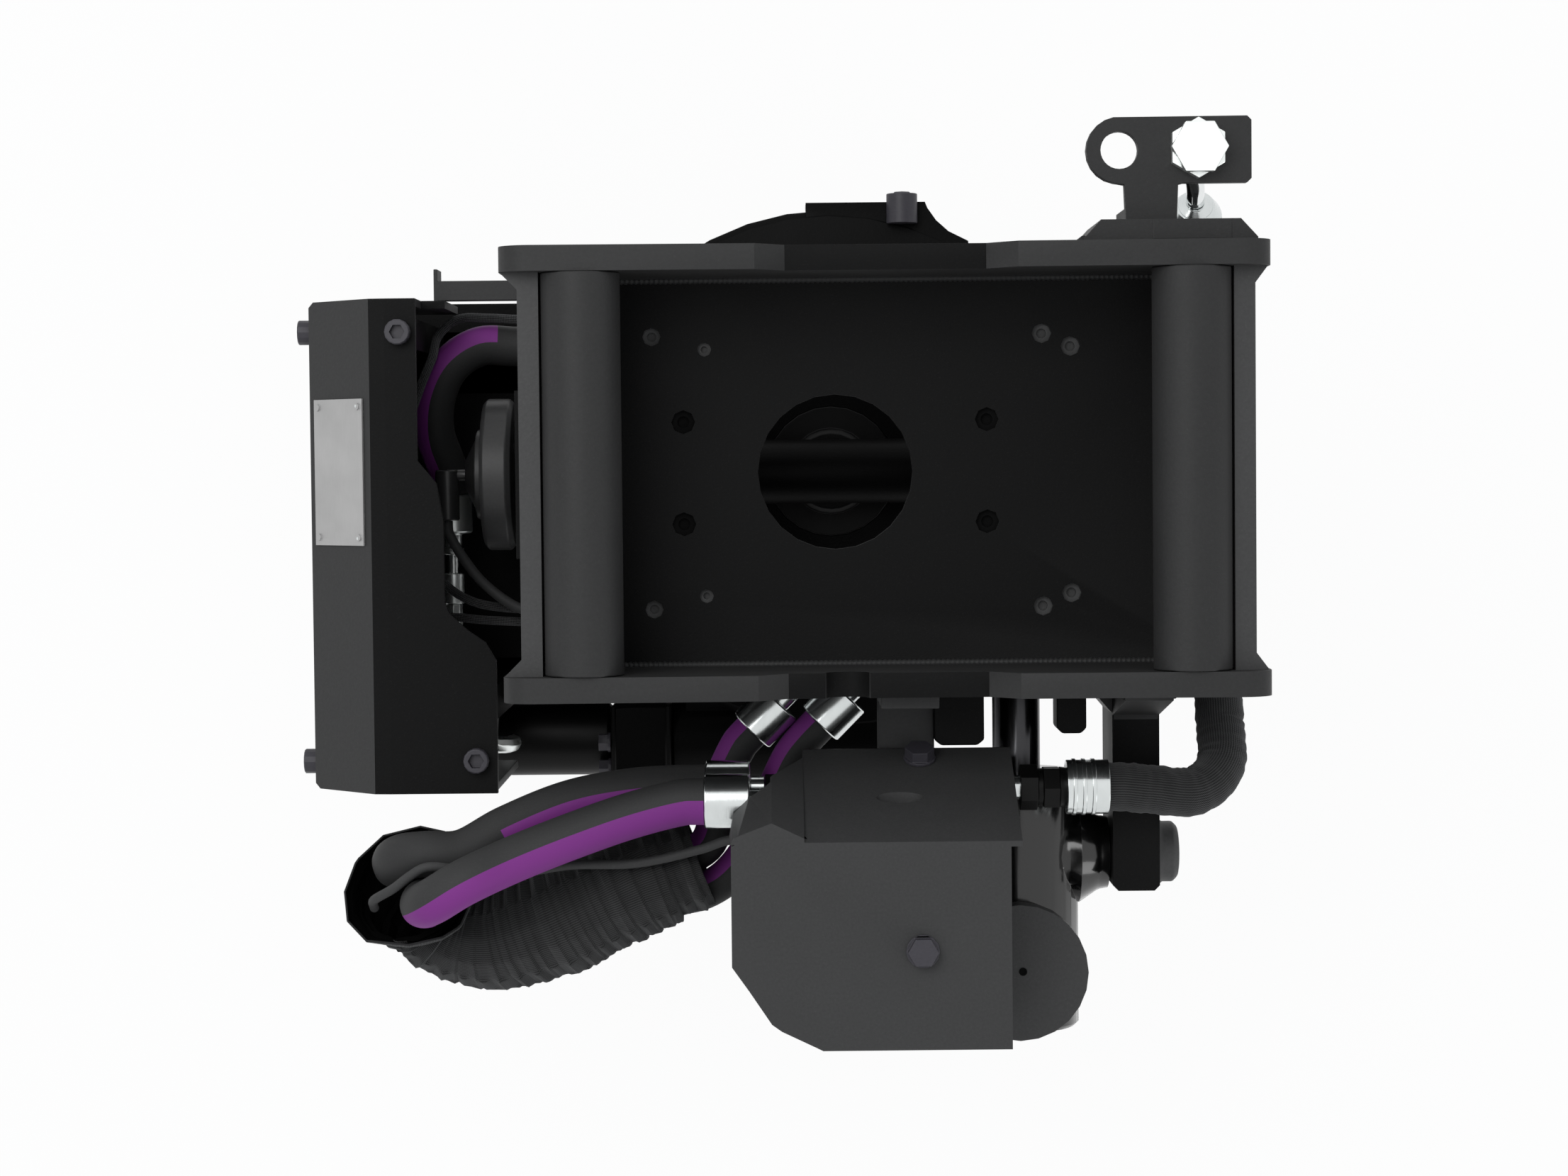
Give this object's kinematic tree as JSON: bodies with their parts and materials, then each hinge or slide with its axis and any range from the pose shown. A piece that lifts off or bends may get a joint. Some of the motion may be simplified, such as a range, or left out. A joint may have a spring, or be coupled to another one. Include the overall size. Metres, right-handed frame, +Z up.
{
  "type": "tiltrotator",
  "caption": "Hydraulic tiltrotator for an excavator: pinned upper adapter, tilting rotor housing with worm drive, tilt cylinder, hose loop and lower quick coupler.",
  "frame": {"origin": "on the rotor's turning axis, on the underside of the lower coupler's belly plate, where the part stands", "axes": "+X along the tilt axis towards the axle's keeper plate, +Y from the tilt cylinder's barrel towards the hose bracket, +Z up through the rotor towards the adapter's pins"},
  "size_m": [0.7133, 0.6705, 0.618],
  "materials": {
    "adapter_paint": "satin black",
    "housing_paint": "satin dark grey",
    "gloss_black": "gloss black",
    "bright_steel": "bright zinc plate",
    "dark_steel": "blackened",
    "chrome": "polished",
    "hose_rubber": "matte",
    "textile": "woven",
    "valve_aluminium": "satin",
    "plate_grey": "satin"
  },
  "bodies": {
    "housing": {"rotor_housing": "housing_paint", "worm_motor": "gloss_black", "motor_flange": "housing_paint", "motor_bolt_1": "dark_steel", "motor_bolt_2": "dark_steel", "tilt_axle": "gloss_black", "axle_lock_plate": "dark_steel", "oil_swivel": "dark_steel", "guard": "housing_paint", "guard_screw_top_1": "dark_steel", "guard_screw_top_2": "dark_steel", "guard_screw_side_1": "dark_steel", "guard_screw_side_2": "dark_steel", "type_plate": "plate_grey", "guide_bracket": "housing_paint", "motor_hose": "hose_rubber", "motor_hose_end": "bright_steel", "motor_pipe": "bright_steel", "angle_sensor": "gloss_black", "sensor_cable": "hose_rubber", "braided_cable_long": "textile", "braided_cable_short": "textile"},
    "rotor": {"coupler_frame": "housing_paint", "ring_gear": "dark_steel", "lock_cylinder": "gloss_black"},
    "worm": {"worm_shaft": "dark_steel"},
    "lock": {"lock_pin_near": "bright_steel", "lock_pin_far": "bright_steel", "lock_crosshead": "dark_steel", "lock_rod": "chrome"},
    "adapter": {"adapter_frame": "adapter_paint", "adapter_pin_left": "adapter_paint", "adapter_pin_right": "adapter_paint", "hose_bracket": "adapter_paint", "bulkhead_coupling": "bright_steel", "axle_bush_left": "bright_steel", "axle_bush_right": "bright_steel", "trunnion_pin": "dark_steel", "valve_block": "valve_aluminium", "valve_bracket": "housing_paint", "valve_cover": "housing_paint", "cover_bolt_top": "dark_steel", "cover_bolt_outer": "dark_steel", "cover_bolt_inner": "dark_steel", "fitting_front": "bright_steel", "fitting_back": "bright_steel", "fitting_right": "bright_steel", "loop_manifold": "dark_steel", "loop_hose_front": "hose_rubber", "loop_hose_back": "hose_rubber", "loop_hose_inner": "hose_rubber", "loop_hose_outer": "hose_rubber", "loop_sleeve": "textile", "loop_cable": "hose_rubber", "right_hose": "textile"},
    "barrel": {"tilt_barrel": "gloss_black"},
    "rod": {"tilt_rod": "chrome", "rod_pin": "bright_steel"}
  },
  "joints": [
    {"name": "rotate", "type": "hinge", "parent": "housing", "child": "rotor", "pos_m": [0, 0, 0.2], "axis": [0, 0, 1], "continuous": true},
    {"name": "worm_spin", "type": "hinge", "parent": "housing", "child": "worm", "pos_m": [0, -0.22, 0.207], "axis": [1, 0, 0], "continuous": true},
    {"name": "lock_slide", "type": "slide", "parent": "rotor", "child": "lock", "axis": [-1, 0, 0], "range_m": [0, 0.045]},
    {"name": "tilt", "type": "hinge", "parent": "housing", "child": "adapter", "pos_m": [0, 0, 0.35], "axis": [1, 0, 0], "range_deg": [-40, 40]},
    {"name": "trunnion", "type": "hinge", "parent": "adapter", "child": "barrel", "pos_m": [0.19, -0.29, 0.435], "axis": [1, 0, 0], "range_deg": [-5, 5]},
    {"name": "rod_slide", "type": "slide", "parent": "barrel", "child": "rod", "axis": [0, 1, 0], "range_m": [-0.058, 0.058]}
  ],
  "couplings": [
    {"joint": "worm_spin", "follows": "rotate", "ratio": 60},
    {"joint": "trunnion", "follows": "tilt", "ratio": -0.1155},
    {"joint": "rod_slide", "follows": "tilt", "m_per_rad": 0.0804}
  ]
}
